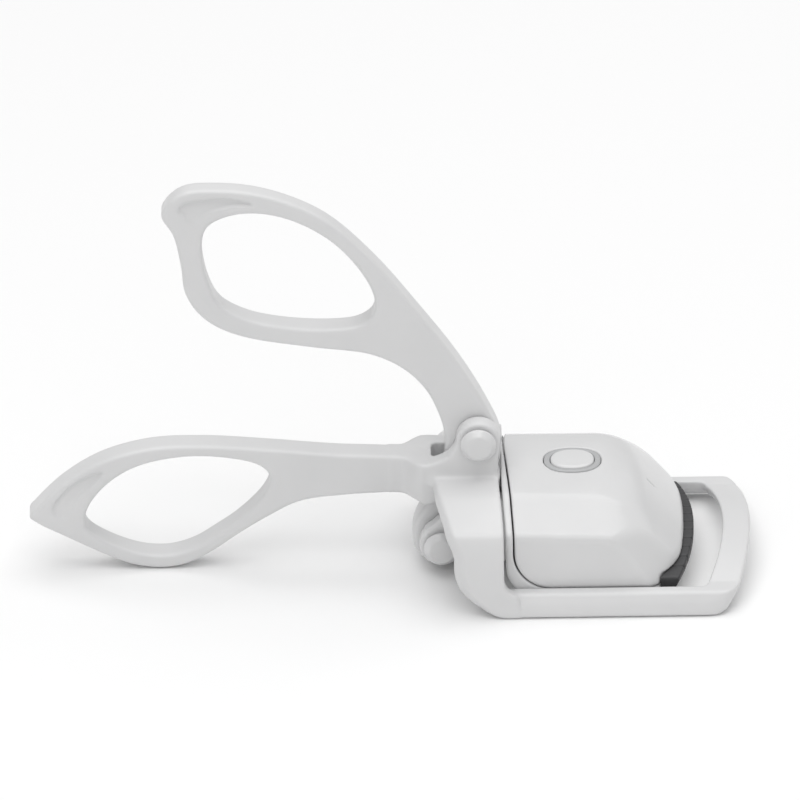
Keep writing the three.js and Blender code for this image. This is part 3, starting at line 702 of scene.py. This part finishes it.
def lower_shell_distance(x, y, z):
    """The head's rim and floor, with its lugs, guide tongues, USB port and screw holes."""
    body = head_body(x, y, z)
    shell = smooth_max(body, -(body + HEAD_WALL), 0.2)
    shell = smooth_max(shell, GAP - hood_side(x, y, z), 0.3)
    shell = smooth_min(shell, np.maximum(lugs(x, y, z), x - 5.9), 0.8)
    tongue = np.maximum(np.abs(z - GUIDE_Z) - 0.5, np.abs(np.abs(y) - 18.4) - 1.0)
    shell = np.minimum(shell, np.maximum(tongue, np.abs(x - 19.5) - 10.5))
    shell = smooth_max(shell, -usb_port(x, y, z), 0.25)
    shell = smooth_max(shell, -heater_pocket(x, y, z), 0.3)
    for number in SCREWS:
        screw = middle(f"shell_screw_{number}")
        hole = np.maximum(np.hypot(x - screw[0], y - screw[1]) - SCREW_HOLE_R, z - SEAM_Z)
        shell = smooth_max(shell, -hole, 0.2)
    return shell


# ---- Heating pad -------------------------------------------------------------------------
def pad_distance(x, y, z):
    """The bowed pad, rounded under its front, with a groove between each two ribs."""
    ay = np.abs(y)
    u = x + BOW * y * y
    front = u - (PAD_FRONT - 0.13 * np.maximum(5.6 - z, 0) ** 2)
    bar = round_max(round_max(front, z - pad_top(y), 0.35), ay - PAD_HALF, 0.3)
    bar = smooth_max(smooth_max(bar, pad_rear(y) - u, 0.2), PAD_FLOOR - z, 0.2)
    beat = np.abs((y / RIB_PITCH + 0.5) % 1 - 0.5) * RIB_PITCH
    return bar + RIB_GROOVE * np.exp(-(beat / 0.2) ** 2) * (ay < 16)


# ---- Pins, button and ring ---------------------------------------------------------------
def lathe(profile, segments, place, capped=True):
    """A revolved mesh: profile points are (a, b, height), and place maps them to mm.

    It is closed at both ends with a fan to a middle point, or else from its last row to its first.
    """
    points, faces = [], []
    for a, b, height in profile:
        points += [place(a, b, angle, height)
                   for angle in np.linspace(0, 2 * math.pi, segments, endpoint=False)]
    rows = len(profile)
    for row in range(rows - 1 if capped else rows):
        low, high = row * segments, (row + 1) % rows * segments
        for s in range(segments):
            t = (s + 1) % segments
            faces.append((low + s, low + t, high + t, high + s))
    for first in (0, (rows - 1) * segments) if capped else ():
        ring = range(first, first + segments)
        points.append(tuple(np.mean([points[i] for i in ring], 0)))
        last = len(points) - 1
        for a, b in zip(ring, [*ring[1:], first]):
            faces.append((a, b, last) if first else (b, a, last))
    return points, faces


def rounded(corners, radius, steps=5):
    """A profile with its inner corners rounded."""
    out = [corners[0]]
    for a, b, c in zip(corners, corners[1:], corners[2:]):
        a, b, c = np.array(a, float), np.array(b, float), np.array(c, float)
        back, on = a - b, c - b
        reach = min(radius, np.linalg.norm(back) * 0.45, np.linalg.norm(on) * 0.45)
        p = b + back / np.linalg.norm(back) * reach
        q = b + on / np.linalg.norm(on) * reach
        for t in np.linspace(0, 1, steps + 1):
            out.append(tuple((1 - t) ** 2 * p + 2 * t * (1 - t) * b + t * t * q))
    return out + [corners[-1]]


def pin_cap(name, pin, side, body):
    """A pin's round cap: a short wall, a wide chamfer and a flat end."""
    low, high = span(name)
    radius, height = (high[0] - low[0]) / 2, high[1] - low[1]
    profile = rounded([
        (0.6, 0.12), (radius - 0.3, 0.12), (radius - 0.3, 0.34), (radius, 0.42),
        (radius - 0.03, max(0.5, height * 0.42)), (radius * 0.7, height), (0.6, height + 0.02),
    ], 0.3)

    def place(a, b, angle, rise):
        return (pin[0] + a * math.cos(angle), side * (CAP_FACE + rise),
                pin[1] - side * b * math.sin(angle))

    points, faces = lathe([(r, r, rise) for r, rise in profile], CAP_SEGMENTS, place)
    add_piece(f"{name}_cover", points, faces, SHELL, body, [name])


def build_frame():
    low, high = span("frame")
    moulding("frame_body", frame_distance, low, high, FRAME_PITCH, HANDLE, "frame",
             ["frame"])
    low, high = span("upper_handle")
    moulding("upper_lever", lever_distance, low, high, FRAME_PITCH, HANDLE, "upper_handle",
             ["upper_handle"])


def build_head():
    low, high = span("head_upper_shell")
    low[0] = HEAD_REAR[0]
    moulding("head_hood", hood_distance, low, high + 0.4, HEAD_PITCH, SHELL, "head",
             ["head_upper_shell"])
    low, high = span("head_lower_shell")
    moulding("head_base", lower_shell_distance, low, high, HEAD_PITCH, SHELL, "head",
             ["head_lower_shell"])
    low, high = span("heating_pad")
    silicone = new_material("silicone_dark", (0.05, 0.05, 0.052), 0.55)
    vary_roughness(silicone, 800, 0.5, 0.62)
    add_bump(silicone, 3000, 8e-6)
    moulding("pad_ribbed", pad_distance, low, high + 0.6, PAD_PITCH, silicone, "head",
             ["heating_pad"])


def build_button():
    ring = new_material("light_guide", (0.46, 0.465, 0.47), 0.4)
    vary_roughness(ring, 500, 0.36, 0.46)

    def place(a, b, angle, height):
        c, s = math.cos(angle), math.sin(angle)
        return (BUTTON_X + a * math.copysign(abs(c) ** (2 / OVAL_POWER), c),
                b * math.copysign(abs(s) ** (2 / OVAL_POWER), s), height)

    def oval(semi, grow, height):
        return (semi[0] + grow, semi[1] + grow, height)

    profile = rounded([
        (0.5, 0.5, BUTTON_LOW), oval(BUTTON_SEMI, GAP, BUTTON_LOW),
        oval(BUTTON_SEMI, GAP, FLANGE_TOP), oval(BUTTON_SEMI, 0, FLANGE_TOP),
        oval(BUTTON_SEMI, 0, BUTTON_TOP - 0.37), oval(BUTTON_SEMI, -0.45, BUTTON_TOP - 0.1),
        (0.5, 0.5, BUTTON_TOP),
    ], 0.35)
    points, faces = lathe(profile, SEGMENTS, place)
    add_piece("button_cap", points, faces, SHELL, "button", ["power_button"])
    loop = [
        oval(BUTTON_SEMI, 0.12, RING_LOW), oval(RING_SEMI, 0, RING_LOW),
        oval(RING_SEMI, 0, RING_TOP - 0.1), oval(RING_SEMI, -0.1, RING_TOP),
        oval(BUTTON_SEMI, 0.22, RING_TOP + 0.08), oval(BUTTON_SEMI, 0.12, RING_TOP),
    ]
    points, faces = lathe(loop, SEGMENTS, place, capped=False)
    add_piece("light_ring_oval", points, faces, ring, "head", ["light_ring"])


def build_pins():
    for side, word in ((-1, "right"), (1, "left")):
        pin_cap(f"pivot_cap_{word}", PIVOT, side, "frame")
        pin_cap(f"link_cap_{word}", LINK, side, "upper_handle")


# ---- CAD nodes that stay: inner parts, each with its own finish --------------------------
INNER_FINISH = {
    "steel": ((0.62, 0.63, 0.64), 0.32, 1.0),
    "copper_film": ((0.62, 0.30, 0.09), 0.45, 0.0),
    "aluminium": ((0.75, 0.76, 0.77), 0.38, 1.0),
    "black_plastic": ((0.03, 0.03, 0.032), 0.55, 0.0),
    "pale_plastic": ((0.8, 0.78, 0.72), 0.5, 0.0),
    "board": ((0.03, 0.2, 0.08), 0.4, 0.0),
    "lens": ((0.9, 0.87, 0.7), 0.2, 0.0),
    "foil": ((0.6, 0.62, 0.64), 0.35, 0.8),
    "foam": ((0.1, 0.1, 0.11), 0.95, 0.0),
    "lead_red": ((0.5, 0.04, 0.04), 0.5, 0.0),
    "lead_black": ((0.03, 0.03, 0.03), 0.5, 0.0),
}
INNER_NODES = {
    "steel": ["pivot_shaft", "link_shaft", "usb_socket", *(f"shell_screw_{n}" for n in SCREWS)],
    "copper_film": ["heating_film"],
    "aluminium": ["heater_plate"],
    "black_plastic": ["pad_holder", "controller_chip", "tact_switch"],
    "pale_plastic": ["thermal_fuse", "switch_plunger"],
    "board": ["circuit_board"],
    "lens": ["ring_led_rear", "ring_led_front"],
    "foil": ["battery"],
    "foam": ["battery_foam"],
    "lead_red": ["heater_lead_right", "heater_lead_left"],
    "lead_black": ["battery_lead_right", "battery_lead_left"],
}


def finish_inner_nodes():
    for finish, nodes in INNER_NODES.items():
        color, roughness, metal = INNER_FINISH[finish]
        material = new_material(f"inner_{finish}", color, roughness, Metallic=metal)
        vary_roughness(material, 600, roughness * 0.85, roughness * 1.1)
        add_bump(material, 2500, 4e-6)
        for node in nodes:
            mesh = frame["nodes"][node].data
            mesh.materials.clear()
            mesh.materials.append(material)


# ---- Stage: floor, light and camera ------------------------------------------------------
CAMERA_DISTANCE = 6.0  # far away, so that the view is almost without perspective
VIEW_WIDTH = 0.1441  # what the picture spans at the curler, in metres
LOOK_AT = Vector((0.0021, 0, 0.0331))
ELEVATION = math.radians(30)
ROLL = math.radians(0.8)
LIGHTS_AIM = Vector((0, 0, 0.02))
LIGHTS = (  # name, place, size in metres, power in watts
    ("key", (-0.15, -0.62, 0.85), 0.9, 2.9),
    ("top", (0.05, 0.1, 1.6), 1.8, 17.0),
    ("rim", (0.6, 0.5, 0.5), 0.6, 0.35),
)


def build_stage():
    bpy.ops.mesh.primitive_plane_add(size=8, location=(0, 0, -0.0001))
    floor = bpy.context.object
    floor.name = "floor"
    floor.data.materials.append(new_material("floor_pale", (0.95, 0.95, 0.95), 0.9))
    world = bpy.data.worlds.new("studio")
    bpy.context.scene.world = world
    world.use_nodes = True
    background = world.node_tree.nodes["Background"]
    background.inputs["Color"].default_value = (1, 1, 1, 1)
    background.inputs["Strength"].default_value = 0.4
    for name, place, size, power in LIGHTS:
        data = bpy.data.lights.new(name, "AREA")
        data.size = size
        data.energy = power
        light = bpy.data.objects.new(name, data)
        light.location = place
        light.rotation_euler = (LIGHTS_AIM - Vector(place)).to_track_quat("-Z", "Y").to_euler()
        bpy.context.scene.collection.objects.link(light)


def build_camera():
    data = bpy.data.cameras.new("camera")
    data.sensor_width = 36
    data.lens = 36 * CAMERA_DISTANCE / VIEW_WIDTH
    data.clip_end = 30
    camera = bpy.data.objects.new("camera", data)
    back = Vector((0, -math.cos(ELEVATION), math.sin(ELEVATION)))
    camera.location = LOOK_AT + back * CAMERA_DISTANCE
    aim = (-back).to_track_quat("-Z", "Y").to_matrix().to_4x4()
    camera.rotation_euler = (aim @ Matrix.Rotation(-ROLL, 4, "Z")).to_euler()
    bpy.context.scene.collection.objects.link(camera)
    bpy.context.scene.camera = camera
    bpy.context.scene.view_settings.view_transform = "Standard"


build_camera()
build_stage()
build_frame()
build_head()
build_button()
build_pins()
finish_inner_nodes()
